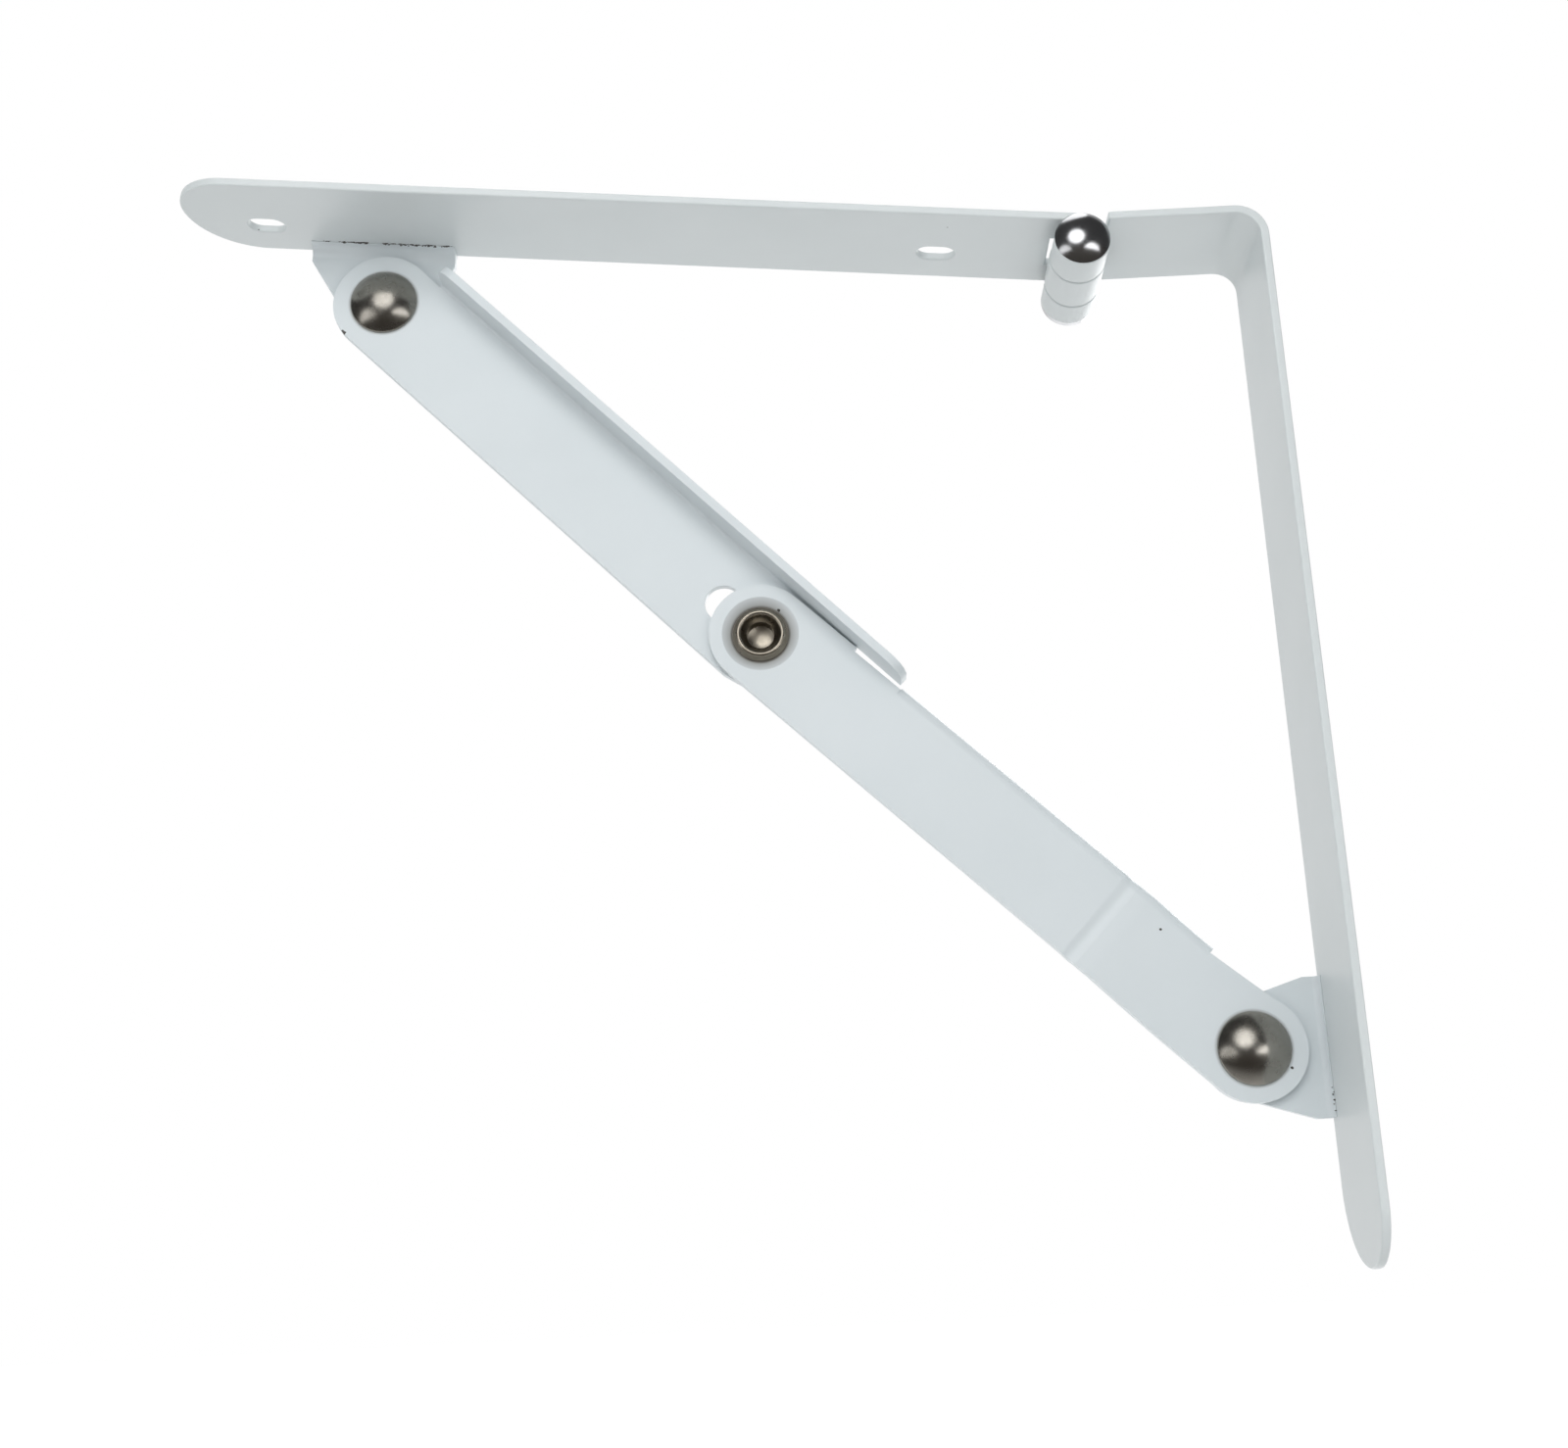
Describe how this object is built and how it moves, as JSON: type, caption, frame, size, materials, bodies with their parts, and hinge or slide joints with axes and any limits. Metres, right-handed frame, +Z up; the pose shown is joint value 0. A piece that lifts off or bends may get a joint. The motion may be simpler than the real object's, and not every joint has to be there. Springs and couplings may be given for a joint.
{
  "type": "drop leaf table bracket",
  "caption": "Folding bracket of white steel strip that holds up a table leaf: an L-shaped wall arm, a hinged leaf arm and a jointed, slotted brace.",
  "frame": {"origin": "near end of the leaf's hinge axis, level with the strips' near edge", "axes": "+X towards the wall, +Y from the near edge to the far edge, +Z up"},
  "size_m": [0.2552, 0.0346, 0.26],
  "materials": {
    "white_paint": "semi-gloss white paint",
    "nickel": "polished nickel plate"
  },
  "bodies": {
    "wall_bracket": {"wall_strip": "white_paint", "wall_lug": "white_paint", "wall_rivet": "nickel"},
    "lower_arm": {"lower_brace": "white_paint", "knee_rivet": "nickel", "knee_washer": "nickel"},
    "upper_arm": {"upper_brace": "white_paint"},
    "leaf_arm": {"leaf_strip": "white_paint", "leaf_lug": "white_paint", "leaf_rivet": "nickel", "hinge_pin_near": "nickel", "hinge_pin_far": "nickel"}
  },
  "joints": [
    {"name": "wall_pivot", "type": "hinge", "parent": "wall_bracket", "child": "lower_arm", "pos_m": [0.0247, 0.0267, -0.1839], "axis": [0, -1, 0], "range_deg": [-38.31, 0]},
    {"name": "knee_fold", "type": "hinge", "parent": "lower_arm", "child": "upper_arm", "pos_m": [-0.07856, 0.0255, -0.08394], "axis": [0, -1, 0], "range_deg": [0, 166.04]},
    {"name": "leaf_pivot", "type": "hinge", "parent": "upper_arm", "child": "leaf_arm", "pos_m": [-0.16624, 0.0267, 0.00613], "axis": [0, -1, 0], "range_deg": [-39.75, 0]}
  ],
  "couplings": [
    {"joint": "wall_pivot", "follows": "knee_fold", "ratio": -0.23067},
    {"joint": "leaf_pivot", "follows": "knee_fold", "ratio": -0.23935}
  ]
}
